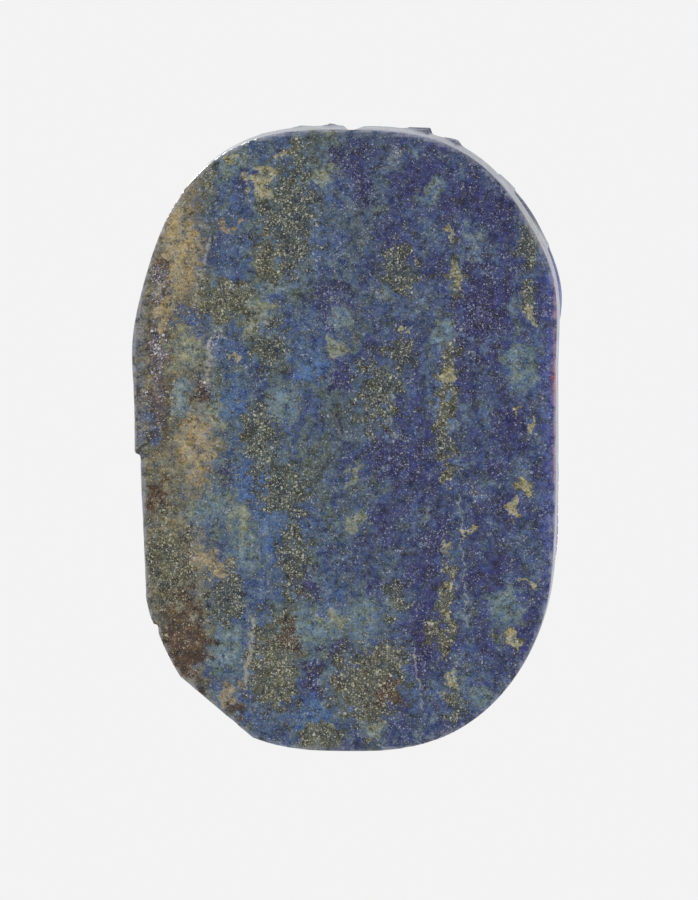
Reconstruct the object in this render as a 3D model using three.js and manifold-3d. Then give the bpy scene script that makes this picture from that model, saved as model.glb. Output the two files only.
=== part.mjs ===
// Scarab amulet, carved from one piece of lapis lazuli and left plain underneath.
// The beetle lies on its flat base: the base is the plane z = 0, with the origin at its centre,
// the back rises along +Z, the head points along -Y and the tail along +Y. Millimetres.
import * as THREE from "three";
import { mergeVertices } from "three/addons/utils/BufferGeometryUtils.js";
import Module from "manifold-3d";

const wasm = await Module();
wasm.setup();

// Driving dimensions
const LENGTH = 29.6; // the flat base, head end to tail end
const WIDTH = 20; // the flat base, side to side
const HEIGHT = 13.4; // base to the top of the wing cases
const PLATE_HEIGHT = 2.8; // the oval plate under the legs
const LEG_ZONE = 2.7; // height of the recess between plate and wing cases that holds the legs
const RECESS = 1.45; // how far the recess goes in from the edge of the base
const EDGE_WEAR = 0.08; // bevel of the plate's edges
const GROOVE_DEPTH = 0.35; // the carved lines on the back
const GROOVE_WIDTH = 0.4;
const BORE_DIAMETER = 1.5; // the lengthwise stringing hole
const SEAM_Y = -3.3; // where the thorax meets the wing cases
const HEAD_X = 0.25; // the head was carved a little off the middle
const HEAD_TURN = 1.3; // degrees, and a little askew

// The worn outline of the base: a rounded oval, shoulders that swell, and ground or broken flats.
// Angles are degrees round the origin from +X towards +Y.
const FRONT_SQUARENESS = 2.85;
const REAR_SQUARENESS = 2.7;
const SWELLS = [
  { at: -38, height: 0.5, spread: 12.5 },
  { at: -154, height: 0.25, spread: 11.5 },
  { at: 42, height: 0.3, spread: 16 },
  { at: 139, height: 0.15, spread: 5 },
];
const FLATS = [
  { facing: 130, distance: 13.69, from: 102, to: 136 },
  { facing: 85, distance: 14.86, from: 60, to: 93 },
  { facing: 177.6, distance: 9.77, from: 142, to: 176 },
];
const RIM_STEPS = 108;

const radians = THREE.MathUtils.degToRad;
const turnBetween = (a, b) => THREE.MathUtils.euclideanModulo(a - b + 180, 360) - 180;

// Distance from the origin to the edge of the base in the direction of an angle in degrees.
function rimRadius(angle) {
  const c = Math.cos(radians(angle));
  const s = Math.sin(radians(angle));
  const n = s < 0 ? FRONT_SQUARENESS : REAR_SQUARENESS;
  let r = (Math.abs((2 * c) / WIDTH) ** n + Math.abs((2 * s) / LENGTH) ** n) ** (-1 / n);
  for (const swell of SWELLS)
    r += swell.height * Math.exp(-((turnBetween(angle, swell.at) / swell.spread) ** 2));
  for (const flat of FLATS)
    if (angle > flat.from && angle < flat.to)
      r = Math.min(r, flat.distance / Math.cos(radians(angle - flat.facing)));
  return r;
}

// A point on the side of the beetle: so far in from the edge of the base, at a height.
function sidePoint(angle, inset, z) {
  const r = rimRadius(turnBetween(angle, 0)) - inset;
  return new THREE.Vector3(r * Math.cos(radians(angle)), r * Math.sin(radians(angle)), z);
}

function solid(geometry) {
  const bare = geometry.clone();
  bare.deleteAttribute("normal");
  bare.deleteAttribute("uv");
  const merged = mergeVertices(bare, 1e-4);
  const vertProperties = new Float32Array(merged.attributes.position.array);
  return new wasm.Manifold(
    new wasm.Mesh({ numProp: 3, vertProperties, triVerts: new Uint32Array(merged.index.array) }),
  );
}

const union = (pieces) => pieces.reduce((whole, piece) => whole.add(piece));

function block(x0, x1, y0, y1, z0, z1) {
  const box = new THREE.BoxGeometry(x1 - x0, y1 - y0, z1 - z0);
  return solid(box.translate((x0 + x1) / 2, (y0 + y1) / 2, (z0 + z1) / 2));
}

// A prism of the base's outline, drawn in by an inset, with a small worn bevel round both faces.
function ovalPrism(inset, z0, z1, bevel, steps) {
  const points = [];
  for (let i = 0; i < steps; i += 1) {
    const p = sidePoint((360 * i) / steps - 180, inset + bevel, 0);
    points.push(new THREE.Vector2(p.x, p.y));
  }
  const prism = new THREE.ExtrudeGeometry(new THREE.Shape(points), {
    depth: z1 - z0 - 2 * bevel,
    bevelEnabled: bevel > 0,
    bevelSize: bevel,
    bevelThickness: bevel,
    bevelSegments: 1,
  });
  return solid(prism.translate(0, 0, z0 + bevel));
}

// A rounded shell of the back: its rim stands on an oval, its lower edge turns in under it.
function dome({ y, halfWidth, halfLength, rimZ, rise, turnUnder, slope }, shrink = 0) {
  const PLAN_POWER = 2.45;
  const RISE_POWER = 2.15;
  const RINGS_UP = 11;
  const RINGS_UNDER = 3;
  const profile = [];
  for (let i = RINGS_UP; i > -RINGS_UNDER; i -= 1) {
    const turn = (Math.PI / 2) * (i > 0 ? i / RINGS_UP : i / RINGS_UNDER);
    profile.push(new THREE.Vector2(i === RINGS_UP ? 0 : Math.cos(turn), Math.sin(turn)));
  }
  profile.push(new THREE.Vector2(0, -1));
  const round = new THREE.LatheGeometry(profile.reverse(), 48).rotateX(Math.PI / 2);
  const position = round.attributes.position;
  const v = new THREE.Vector3();
  for (let i = 0; i < position.count; i += 1) {
    v.fromBufferAttribute(position, i);
    const across = Math.hypot(v.x, v.y);
    const c = across > 1e-6 ? v.x / across : 1;
    const s = across > 1e-6 ? v.y / across : 0;
    const plan = (Math.abs(c) ** PLAN_POWER + Math.abs(s) ** PLAN_POWER) ** (-1 / PLAN_POWER);
    const ring = across > 1e-6 ? plan * across ** (2 / RISE_POWER) : 0;
    const up = Math.sign(v.z) * Math.abs(v.z) ** (2 / RISE_POWER);
    const py = s * ring * (halfLength - shrink);
    position.setXYZ(
      i,
      c * ring * (halfWidth - shrink),
      y + py,
      rimZ - slope * py + up * (v.z > 0 ? rise - shrink : turnUnder),
    );
  }
  return solid(round);
}

const RIM_Z = PLATE_HEIGHT + LEG_ZONE;
const WING_CASES = {
  y: 2.2,
  halfWidth: WIDTH / 2 - 1.0,
  halfLength: 11.6,
  rimZ: RIM_Z,
  rise: HEIGHT - RIM_Z,
  turnUnder: 1.1,
  slope: 0.07,
};
const THORAX = {
  y: -3.6,
  halfWidth: WIDTH / 2 - 1.15,
  halfLength: 7.7,
  rimZ: RIM_Z + 0.25,
  rise: HEIGHT - RIM_Z - 0.75,
  turnUnder: 1.0,
  slope: -0.05,
};

// A blade cuts one carved line through a shell, upright and straight in plan.
function blade(x0, y0, x1, y1) {
  const run = Math.hypot(x1 - x0, y1 - y0);
  const cut = new THREE.BoxGeometry(run, GROOVE_WIDTH, 2 * HEIGHT);
  cut.rotateZ(Math.atan2(y1 - y0, x1 - x0));
  return solid(cut.translate((x0 + x1) / 2, (y0 + y1) / 2, HEIGHT));
}

// The back: a smaller dome shows at the bottom of every line cut through the shells over it.
function back() {
  const far = LENGTH;
  const wingShell = dome(WING_CASES)
    .intersect(block(-far, far, SEAM_Y + GROOVE_WIDTH / 2, far, -far, far))
    .subtract(blade(0, SEAM_Y, 0, far))
    .subtract(blade(-far, SEAM_Y + 0.95, far, SEAM_Y + 0.95))
    .subtract(blade(5.2, SEAM_Y + 0.95, 9.2, SEAM_Y + 3.6))
    .subtract(blade(-5.2, SEAM_Y + 0.95, -9.2, SEAM_Y + 3.6));
  const thoraxShell = dome(THORAX).intersect(
    block(-far, far, -far, SEAM_Y - GROOVE_WIDTH / 2, -far, far),
  );
  return union([
    dome(WING_CASES, GROOVE_DEPTH),
    dome(THORAX, GROOVE_DEPTH),
    wingShell,
    thoraxShell,
  ]);
}

// The head: a plate that slopes down to a front edge cut into blunt teeth, with an eye each side.
const TEETH = [
  { x: -4.26, half: 0.45, y: -14.22 },
  { x: -2.68, half: 0.44, y: -14.6 },
  { x: -1.14, half: 0.54, y: -14.76 },
  { x: 1.14, half: 0.46, y: -14.64 },
  { x: 2.68, half: 0.56, y: -14.68 },
  { x: 4.26, half: 0.45, y: -14.24 },
];
const NOTCH_DEPTH = 0.5;
const NOTCH_LEAN = 0.12;

const CHEEK = [
  [4.85, -13.75],
  [5.0, -12.6],
  [4.5, -11.2],
  [4.1, -9],
];

function headPlan() {
  const points = CHEEK.toReversed().map(([x, y]) => [-x, y]);
  for (const { x, half, y } of TEETH)
    points.push(
      [x - half - NOTCH_LEAN, y + NOTCH_DEPTH],
      [x - half, y],
      [x + half, y],
      [x + half + NOTCH_LEAN, y + NOTCH_DEPTH],
    );
  points.push(...CHEEK);
  return new THREE.Shape(points.map(([x, y]) => new THREE.Vector2(x, y)));
}

const HEAD_FOOT = PLATE_HEIGHT - 0.2; // the head runs a little into the plate

function head() {
  const TALL = 8;
  const BROAD = 12;
  const plan = new THREE.ExtrudeGeometry(headPlan(), { depth: TALL, bevelEnabled: false });
  plan.translate(0, 0, HEAD_FOOT);

  // seen from the side, forwards is +X and up is +Y: the brow slopes down to the toothed edge
  const profile = new THREE.Shape();
  profile.moveTo(8, HEAD_FOOT);
  profile.lineTo(15.5, HEAD_FOOT);
  profile.lineTo(15.5, 4.4);
  profile.lineTo(14.5, 4.55);
  profile.quadraticCurveTo(12.6, 6.9, 9.5, 8.3);
  profile.lineTo(8, 8.3);
  const slope = new THREE.ExtrudeGeometry(profile, { depth: BROAD, bevelEnabled: false, curveSegments: 8 });
  slope.translate(0, 0, -BROAD / 2);
  slope.applyMatrix4(
    new THREE.Matrix4().makeBasis(
      new THREE.Vector3(0, -1, 0),
      new THREE.Vector3(0, 0, 1),
      new THREE.Vector3(-1, 0, 0),
    ),
  );

  const crown = new THREE.SphereGeometry(1, 24, 12).scale(6.2, 9, 5.7).translate(0, -9, 2);
  // a line across the head parts the toothed front plate from the brow
  const line = new THREE.BoxGeometry(9, 0.5, 0.5).rotateX(Math.PI / 4).translate(0, -12.2, 7.15);
  const eyes = [-1, 1].map((side) =>
    solid(new THREE.SphereGeometry(1, 12, 8).scale(0.95, 1.5, 1).translate(side * 4.75, -11, 5.6)),
  );
  const shape = solid(plan).intersect(solid(slope)).intersect(solid(crown)).subtract(solid(line));
  return union([shape, ...eyes]).rotate([0, 0, HEAD_TURN]).translate([HEAD_X, 0, 0]);
}

// The legs: round bands that lie in the recess between plate and back, each drawn as one run from
// under the back, over its knee, to its foot. A stop is [degrees from +X, inset from the edge, height].
const LEG_RADIUS = 0.78;
const FORE_LEG = [
  [-14, 2.4, 4.9],
  [-26, 1.3, 4.7],
  [-36, 0.85, 4.3],
  [-47, 0.82, 4.0],
  [-56, 0.82, 3.75],
  [-65, 1.1, 3.5],
];
const MIDDLE_LEG = [
  [-15, 2.2, 4.9],
  [-4, 1.3, 4.8],
  [7, 0.9, 4.5],
  [19, 0.87, 4.0],
  [30, 0.87, 3.6],
  [41, 0.95, 3.45],
];
const HIND_LEG = [
  [18, 2.3, 5.0],
  [30, 1.4, 4.9],
  [40, 0.95, 4.7],
  [52, 0.9, 4.2],
  [65, 0.9, 3.75],
  [78, 1.1, 3.45],
];

// The left side mirrors the right, on its own half of the outline.
const onSide = (side, angle) => (side > 0 ? angle : 180 - angle);

function leg(stops, side) {
  const points = stops.map(([angle, inset, z]) => sidePoint(onSide(side, angle), inset, z));
  const section = new THREE.Shape();
  section.absarc(0, 0, LEG_RADIUS, 0, 2 * Math.PI);
  const band = new THREE.ExtrudeGeometry(section, {
    steps: 2 * stops.length,
    curveSegments: 4,
    extrudePath: new THREE.CatmullRomCurve3(points),
  });
  const end = points.at(-1);
  const foot = new THREE.IcosahedronGeometry(1.04 * LEG_RADIUS, 1).translate(end.x, end.y, end.z);
  return solid(band).add(solid(foot));
}

// Blunt teeth along the outer edge of each fore shin, lowest in front and stepped at their rear ends.
const SHIN_TEETH = [
  { from: -60.5, to: -56 },
  { from: -53, to: -43.5 },
];
const SHIN_TOOTH_HEIGHT = 1.6;

function shinTooth({ from, to }, side) {
  const STEPS = 3;
  const IN_FRONT = 0.1;
  const AT_REAR = -0.02;
  const INNER = 1.4;
  const edge = (angle, inset) => {
    const p = sidePoint(onSide(side, angle), inset, 0);
    return new THREE.Vector2(p.x, p.y);
  };
  const points = [];
  for (let i = 0; i <= STEPS; i += 1) {
    const along = i / STEPS;
    points.push(edge(from + (to - from) * along, IN_FRONT + (AT_REAR - IN_FRONT) * along));
  }
  points.push(edge(to, INNER), edge(from, INNER));
  const tooth = new THREE.ExtrudeGeometry(new THREE.Shape(points), {
    depth: SHIN_TOOTH_HEIGHT,
    bevelEnabled: false,
  });
  return solid(tooth.translate(0, 0, PLATE_HEIGHT - 0.1));
}

// The stringing hole runs from end to end under the back. The cord has worn a channel down the
// front of the plate, from the mouth of the hole almost to the base.
const BORE_Z = 3.5;
const MOUTH_DIAMETER = 2.3;
const CHANNEL_WIDTH = 1.44;

function stringing() {
  const FLARE_LENGTH = 1.2;
  const radius = BORE_DIAMETER / 2;
  const wide = MOUTH_DIAMETER / 2;
  const bore = new THREE.CylinderGeometry(radius, radius, 2 * LENGTH, 16);
  const headMouth = new THREE.CylinderGeometry(radius, wide, FLARE_LENGTH, 16);
  headMouth.translate(0, (FLARE_LENGTH - 0.2 - LENGTH) / 2, 0);
  const tailMouth = new THREE.CylinderGeometry(wide, radius, FLARE_LENGTH, 16);
  tailMouth.translate(0, LENGTH / 2 - 2.2, 0);
  const hole = [bore, headMouth, tailMouth].map((cut) => solid(cut.translate(HEAD_X, 0, BORE_Z)));
  const channel = new THREE.CylinderGeometry(CHANNEL_WIDTH / 2, 0.14, 4.8, 12).rotateX(Math.PI / 2);
  return union([...hole, solid(channel.translate(HEAD_X, -LENGTH / 2 - 0.1, 2.65))]);
}

// Chips broken from the edge of the base.
const CHIPS = [
  { x: -9.25, y: 9.35, z: 0.3, size: 0.55 },
  { x: -10.05, y: 0.95, z: 0.2, size: 0.35 },
  { x: 4.6, y: 14.55, z: 0.1, size: 0.35 },
];

function chip({ x, y, z, size }) {
  return solid(new THREE.IcosahedronGeometry(size, 0).scale(0.7, 1, 1.6).translate(x, y, z));
}

// The stone is solid throughout: pockets sealed between a leg and the recess behind it are filled.
function outerSkin(body) {
  return body.decompose().reduce((a, b) => (a.volume() > b.volume() ? a : b));
}

function scarab() {
  const sides = [-1, 1];
  const pieces = [
    ovalPrism(0, 0, PLATE_HEIGHT, EDGE_WEAR, RIM_STEPS),
    ovalPrism(RECESS, HEAD_FOOT, RIM_Z - 0.3, 0, RIM_STEPS / 2),
    back(),
    head(),
    ...sides.flatMap((side) => [FORE_LEG, MIDDLE_LEG, HIND_LEG].map((stops) => leg(stops, side))),
    ...sides.flatMap((side) => SHIN_TEETH.map((tooth) => shinTooth(tooth, side))),
  ];
  const whole = outerSkin(union(pieces)).subtract(stringing());
  return CHIPS.reduce((stone, flaw) => stone.subtract(chip(flaw)), whole);
}

function meshOf(body, name, material) {
  const { vertProperties, triVerts, numProp } = body.getMesh();
  const geometry = new THREE.BufferGeometry();
  const positions = new Float32Array((vertProperties.length / numProp) * 3);
  for (let i = 0; i < positions.length / 3; i += 1)
    positions.set(vertProperties.subarray(i * numProp, i * numProp + 3), i * 3);
  geometry.setAttribute("position", new THREE.BufferAttribute(positions, 3));
  geometry.setIndex(new THREE.BufferAttribute(triVerts, 1));
  geometry.computeVertexNormals();
  const mesh = new THREE.Mesh(geometry, material);
  mesh.name = name;
  return mesh;
}

const lapis = new THREE.MeshStandardMaterial({ color: 0x3a4774, roughness: 0.45, metalness: 0 });

const group = new THREE.Group();
group.name = "scarab_amulet";
group.add(meshOf(scarab(), "scarab", lapis));

export default group;
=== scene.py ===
"""A scarab amulet of lapis lazuli, lying on its plain flat base, seen from under the base."""

import math

import bpy
import numpy as np
import openvdb
from mathutils import Matrix, Vector


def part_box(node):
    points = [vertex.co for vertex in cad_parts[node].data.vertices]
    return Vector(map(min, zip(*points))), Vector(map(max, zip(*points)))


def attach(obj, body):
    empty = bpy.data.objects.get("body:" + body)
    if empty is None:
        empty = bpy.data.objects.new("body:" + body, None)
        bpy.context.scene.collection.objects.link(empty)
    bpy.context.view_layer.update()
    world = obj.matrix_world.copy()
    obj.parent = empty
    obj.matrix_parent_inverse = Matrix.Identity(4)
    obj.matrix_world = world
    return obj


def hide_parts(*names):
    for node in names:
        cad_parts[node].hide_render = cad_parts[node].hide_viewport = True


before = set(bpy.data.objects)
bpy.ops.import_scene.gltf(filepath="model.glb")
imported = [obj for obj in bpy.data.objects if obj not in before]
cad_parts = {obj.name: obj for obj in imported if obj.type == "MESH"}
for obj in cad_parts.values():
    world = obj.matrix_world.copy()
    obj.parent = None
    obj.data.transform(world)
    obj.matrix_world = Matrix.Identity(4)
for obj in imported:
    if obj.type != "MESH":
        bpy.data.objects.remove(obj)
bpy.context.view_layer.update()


# --- The stone: base, body and back ----------------------------------------------------------
# The whole amulet is one piece of lapis lazuli. It was sawn to an oval tablet, ground flat below,
# abraded to a beetle above and polished. Its form is carved here as a field of distances in mm.

stone_low, stone_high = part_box("scarab")
MM = 0.001
LENGTH = (stone_high.y - stone_low.y) / MM
WIDTH = 20.0
HEIGHT = 13.4
PLATE_HEIGHT = 2.8
RIM_Z = PLATE_HEIGHT + 2.7
CORE_TOP, CORE_SUNK = RIM_Z - 0.3, 0.5
RECESS = 1.45
PLATE_ARRIS, CORE_ARRIS = 0.14, 0.2
PLATE_FILLET, BACK_FILLET = 0.35, 0.25
# carved lines: the seam between thorax and wing cases, and what runs behind it
SEAM_Y = -3.3
COLLAR, MIDLINE_START = 0.95, 0.9
SHOULDER_X, SHOULDER_RUN = 5.2, (4.0, 2.65)
DEEP_LINE, LINE, LINE_WIDTH = 0.35, 0.3, 0.2
RIM_LINE, RIM_LINE_RISE = 0.16, 1.15
CELL = 0.115
MARGIN = 0.7

# the worn outline of the base, by direction in degrees, with +X at 0 and the head at -90
# swells: towards, height, spread. flats: towards, distance, first and last direction
ROUNDNESS_HEAD, ROUNDNESS_TAIL = 2.85, 2.7
SWELLS = [(-38, 0.5, 12.5), (-154, 0.25, 11.5), (42, 0.3, 16), (139, 0.15, 5)]
FLATS = [(130, 13.69, 102, 136), (85, 14.86, 60, 93), (177.6, 9.77, 142, 176)]


def rim_radius(angle):
    """Distance from the middle to the edge of the base, for directions in degrees."""
    turn = np.radians(angle)
    power = np.where(angle < 0, ROUNDNESS_HEAD, ROUNDNESS_TAIL)
    across, along = np.abs(np.cos(turn)) / (WIDTH / 2), np.abs(np.sin(turn)) / (LENGTH / 2)
    radius = (across**power + along**power) ** (-1 / power)
    for at, height, spread in SWELLS:
        radius += height * np.exp(-((((angle - at + 180) % 360 - 180) / spread) ** 2))
    for facing, distance, first, last in FLATS:
        flat = distance / np.maximum(np.cos(np.radians(angle - facing)), 0.1)
        radius = np.where((angle > first) & (angle < last), np.minimum(radius, flat), radius)
    return radius


def side_point(angle, inset, z, flank=1):
    """A point on the side, so far in from the edge of the base. Flank -1 is the left one."""
    if flank < 0:
        angle = -angle % 360 - 180
    radius = float(rim_radius(np.array(angle))) - inset
    turn = math.radians(angle)
    return np.array([radius * math.cos(turn), radius * math.sin(turn), z])


grid_low = np.array([-WIDTH / 2 - MARGIN, -LENGTH / 2 - MARGIN, -MARGIN])
grid_size = np.ceil((np.array([WIDTH, LENGTH, HEIGHT]) + 2 * MARGIN) / CELL).astype(int) + 1
xs, ys, zs = (grid_low[i] + CELL * np.arange(grid_size[i], dtype=np.float32) for i in range(3))
X, Y, Z = xs[:, None, None], ys[None, :, None], zs[None, None, :]


def join(a, b, fillet):
    """Both bodies, with a soft fillet where they meet."""
    blend = np.maximum(fillet - np.abs(a - b), 0) / fillet
    return np.minimum(a, b) - blend * blend * fillet / 4


def cut(a, tool, edge):
    """a without the tool's space, with a worn edge."""
    return -join(-a, tool, edge)


def groove(depth, width, distance):
    """How far a carved line sinks the surface at a distance from its middle."""
    return depth * np.exp(-((distance / width) ** 2))


def outline_distance():
    """Flat distance to the outline of the base, below zero inside it."""
    radius, angle = np.hypot(X, Y), np.degrees(np.arctan2(Y, X))
    table = np.arange(-180, 180.01, 0.25)
    field = radius - np.interp(angle, table, rim_radius(table))
    slope_x, slope_y = np.gradient(field[:, :, 0], CELL)
    return field / np.maximum(np.hypot(slope_x, slope_y), 0.5)[:, :, None]


def dome(y, half_width, half_length, rim_z, rise, turn_under, slope):
    """A rounded shell of the back, with a fine line carved round it a little above its rim."""
    plan_power, rise_power = 2.45, 2.15
    plan = np.abs(X / half_width) ** plan_power + np.abs((Y - y) / half_length) ** plan_power
    level = rim_z - slope * (Y - y)
    up = Z - level
    up = np.where(up > 0, up / rise, -up / turn_under)
    bulge = (plan ** (rise_power / plan_power) + up**rise_power) ** (1 / rise_power)
    reach = np.sqrt(X**2 + (Y - y) ** 2 + (Z - level) ** 2)
    field = reach * (1 - 1 / np.maximum(bulge, 1e-3))
    return field + groove(RIM_LINE, RIM_LINE, Z - level - RIM_LINE_RISE)


edge_distance = outline_distance()
plate = -join(-edge_distance, PLATE_HEIGHT / 2 - np.abs(Z - PLATE_HEIGHT / 2), PLATE_ARRIS)
core = cut(edge_distance + RECESS, CORE_TOP - Z, CORE_ARRIS)
core = cut(core, Z - PLATE_HEIGHT + CORE_SUNK, CORE_ARRIS)
stone = join(plate, core, PLATE_FILLET)

wing_cases = dome(
    y=2.2, half_width=WIDTH / 2 - 1.0, half_length=11.6,
    rim_z=RIM_Z, rise=HEIGHT - RIM_Z, turn_under=1.1, slope=0.07,
)
behind_collar = Y - SEAM_Y - COLLAR
wing_cases += groove(DEEP_LINE, LINE_WIDTH, X) * (Y > SEAM_Y + MIDLINE_START)
wing_cases += groove(LINE, LINE_WIDTH, behind_collar)
for flank in (-1, 1):
    along = np.array([SHOULDER_RUN[0] * flank, SHOULDER_RUN[1]]) / math.hypot(*SHOULDER_RUN)
    outside = X - SHOULDER_X * flank
    across = outside * along[1] - behind_collar * along[0]
    beyond = outside * along[0] + behind_collar * along[1]
    wing_cases += groove(LINE, LINE_WIDTH, across) * np.clip(beyond / 0.5, 0, 1)
thorax = dome(
    y=-3.6, half_width=WIDTH / 2 - 1.15, half_length=7.7,
    rim_z=RIM_Z + 0.25, rise=HEIGHT - RIM_Z - 0.75, turn_under=1.0, slope=-0.05,
)
back = np.where(Y > SEAM_Y, wing_cases, thorax) + groove(DEEP_LINE, LINE_WIDTH, Y - SEAM_Y)
stone = join(stone, back, BACK_FILLET)


# --- The head --------------------------------------------------------------------------------
# The head is carved from the same stone: a plate that slopes down to a front edge cut into blunt
# teeth, with an eye each side. It stands a little off the middle and a little askew.

HEAD_X, HEAD_TURN = 0.25, math.radians(1.3)
HEAD_START = -8
BROW_Y, BROW_Z = -9.5, 8.3
CROWN_Y, CROWN_Z, CROWN_SIZE = -9, 2, (6.2, 9, 5.7)
CARVED_FROM_Z = 4.6
CLYPEUS_Y, RIDGE_Y, FURROWS_Y = -12.2, -12.3, -13.0
FURROWS = (-3.5, -1.9, 1.9, 3.5)
EYE_X, EYE_Y, EYE_Z = 4.75, -11, 5.6
EYE_WIDTH, EYE_LENGTH = 0.95, 1.5
HEAD_FILLET, EYE_FILLET = 0.2, 0.12

# the teeth of the front edge: middle, half width and how far forward
TEETH = [
    (-4.26, 0.45, -14.22),
    (-2.68, 0.44, -14.6),
    (-1.14, 0.54, -14.76),
    (1.14, 0.46, -14.64),
    (2.68, 0.56, -14.68),
    (4.26, 0.45, -14.24),
]
NOTCH_DEPTH, NOTCH_LEAN = 0.5, 0.12
CHEEK = [(4.85, -13.75), (5.0, -12.6), (4.5, -11.2), (4.1, -9.0)]


def polygon_distance(points, x, y):
    """Flat distance to a closed polygon, below zero inside it."""
    nearest, inside = np.full(np.broadcast(x, y).shape, 1e9), False
    for (x0, y0), (x1, y1) in zip(points, points[1:] + points[:1]):
        run_x, run_y = x1 - x0, y1 - y0
        share = np.clip(((x - x0) * run_x + (y - y0) * run_y) / (run_x**2 + run_y**2), 0, 1)
        nearest = np.minimum(nearest, np.hypot(x - x0 - share * run_x, y - y0 - share * run_y))
        crosses = (y0 > y) != (y1 > y)
        inside = inside ^ (crosses & (x < x0 + (y - y0) * run_x / (run_y or 1e-9)))
    return np.where(inside, -nearest, nearest)


head_x = math.cos(HEAD_TURN) * (X - HEAD_X) + math.sin(HEAD_TURN) * Y
head_y = -math.sin(HEAD_TURN) * (X - HEAD_X) + math.cos(HEAD_TURN) * Y
front_edge = []
for x, half, y in TEETH:
    front_edge += [(x - half - NOTCH_LEAN, y + NOTCH_DEPTH), (x - half, y)]
    front_edge += [(x + half, y), (x + half + NOTCH_LEAN, y + NOTCH_DEPTH)]
head_plan = [(-x, y) for x, y in reversed(CHEEK)] + front_edge + CHEEK
near_head = ys < HEAD_START
hx, hy = head_x[:, near_head], head_y[:, near_head]
head = polygon_distance(head_plan, hx, hy)
forward = np.clip((BROW_Y - hy) / 5.0, 0, 1.3)
head_top = BROW_Z - 1.6 * forward - 2.15 * forward**2
head = cut(head, -(Z - head_top) * 0.78, 0.25)
crown = np.sqrt(
    (hx / CROWN_SIZE[0]) ** 2
    + ((hy - CROWN_Y) / CROWN_SIZE[1]) ** 2
    + ((Z - CROWN_Z) / CROWN_SIZE[2]) ** 2
)
head = cut(head, -(crown - 1) * 5.0, 0.4)
head = cut(head, Z - PLATE_HEIGHT + 0.3, 0.1)
above = np.clip((Z - CARVED_FROM_Z) / 0.4, 0, 1)
head += above * groove(0.28, 0.2, hy - CLYPEUS_Y)
head -= above * groove(0.16, 0.5, hx) * np.clip((RIDGE_Y - hy) / 0.4, 0, 1)
for x in FURROWS:
    head += above * groove(0.12, 0.13, hx - x) * np.clip((FURROWS_Y - hy) / 0.4, 0, 1)
for flank in (-1, 1):
    eye = np.sqrt(
        ((hx - EYE_X * flank) / EYE_WIDTH) ** 2
        + ((hy - EYE_Y) / EYE_LENGTH) ** 2
        + (Z - EYE_Z) ** 2
    )
    head = join(head, (eye - 1) * EYE_WIDTH, EYE_FILLET)
stone[:, near_head] = join(stone[:, near_head], head, HEAD_FILLET)


# --- The legs --------------------------------------------------------------------------------
# Three legs a side lie in the recess between plate and back, left standing as round bands. Each
# runs from under the back over its knee to its foot, and the fore shins carry blunt teeth.

LEG_RADIUS, LEG_FILLET, LEG_WINDOW = 0.78, 0.14, 1.6
# each leg from the body to the foot: direction in degrees, how far in from the edge, height
LEGS = {
    "fore": [
        (-14, 2.4, 4.9), (-26, 1.3, 4.7), (-36, 0.85, 4.3),
        (-47, 0.82, 4.0), (-56, 0.82, 3.75), (-65, 1.1, 3.5),
    ],
    "middle": [
        (-15, 2.2, 4.9), (-4, 1.3, 4.8), (7, 0.9, 4.5),
        (19, 0.87, 4.0), (30, 0.87, 3.6), (41, 0.95, 3.45),
    ],
    "hind": [
        (18, 2.3, 5.0), (30, 1.4, 4.9), (40, 0.95, 4.7),
        (52, 0.9, 4.2), (65, 0.9, 3.75), (78, 1.1, 3.45),
    ],
}
# the teeth of a fore shin, between two directions, each lowest in front
SHIN_TEETH = [(-60.5, -56), (-53, -43.5)]
TOOTH_HEIGHT, TOOTH_DEPTH, TOOTH_INSET, TOOTH_STEP = 1.5, 1.4, 0.1, 0.12
MM_PER_DEGREE = 0.22


def smooth_route(points, steps):
    """A curve through the points, as a row of closer points."""
    ends = [2 * points[0] - points[1], *points, 2 * points[-1] - points[-2]]
    route = []
    for a, b, c, d in zip(ends, ends[1:], ends[2:], ends[3:]):
        for t in np.arange(steps) / steps:
            route.append(0.5 * (2 * b + (c - a) * t + (2 * a - 5 * b + 4 * c - d) * t**2
                                + (3 * b - a - 3 * c + d) * t**3))
    return np.array([*route, points[-1]])


def window(low, high):
    """The slices of the grid that hold a box."""
    return tuple(
        slice(max(int((low[i] - grid_low[i]) / CELL), 0), int((high[i] - grid_low[i]) / CELL) + 2)
        for i in range(3)
    )


def axes_in(place):
    """The grid's x, y and z inside a window."""
    return X[place[0]], Y[:, place[1]], Z[:, :, place[2]]


def leg_routes():
    """Every leg's curve, right and left, by name."""
    for name, stops in LEGS.items():
        for flank in (1, -1):
            points = [side_point(angle, inset, z, flank) for angle, inset, z in stops]
            yield name, flank, smooth_route(points, 5)


for _, _, route in leg_routes():
    place = window(route.min(0) - LEG_WINDOW, route.max(0) + LEG_WINDOW)
    x, y, z = axes_in(place)
    band = np.full(np.broadcast(x, y, z).shape, 1e9, np.float32)
    for start, end in zip(route, route[1:]):
        run = end - start
        share = (x - start[0]) * run[0] + (y - start[1]) * run[1] + (z - start[2]) * run[2]
        share = np.clip(share / (run @ run), 0, 1)
        band = np.minimum(band, np.sqrt((x - start[0] - share * run[0]) ** 2
                                        + (y - start[1] - share * run[1]) ** 2
                                        + (z - start[2] - share * run[2]) ** 2))
    stone[place] = join(stone[place], band - LEG_RADIUS, LEG_FILLET)

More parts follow.
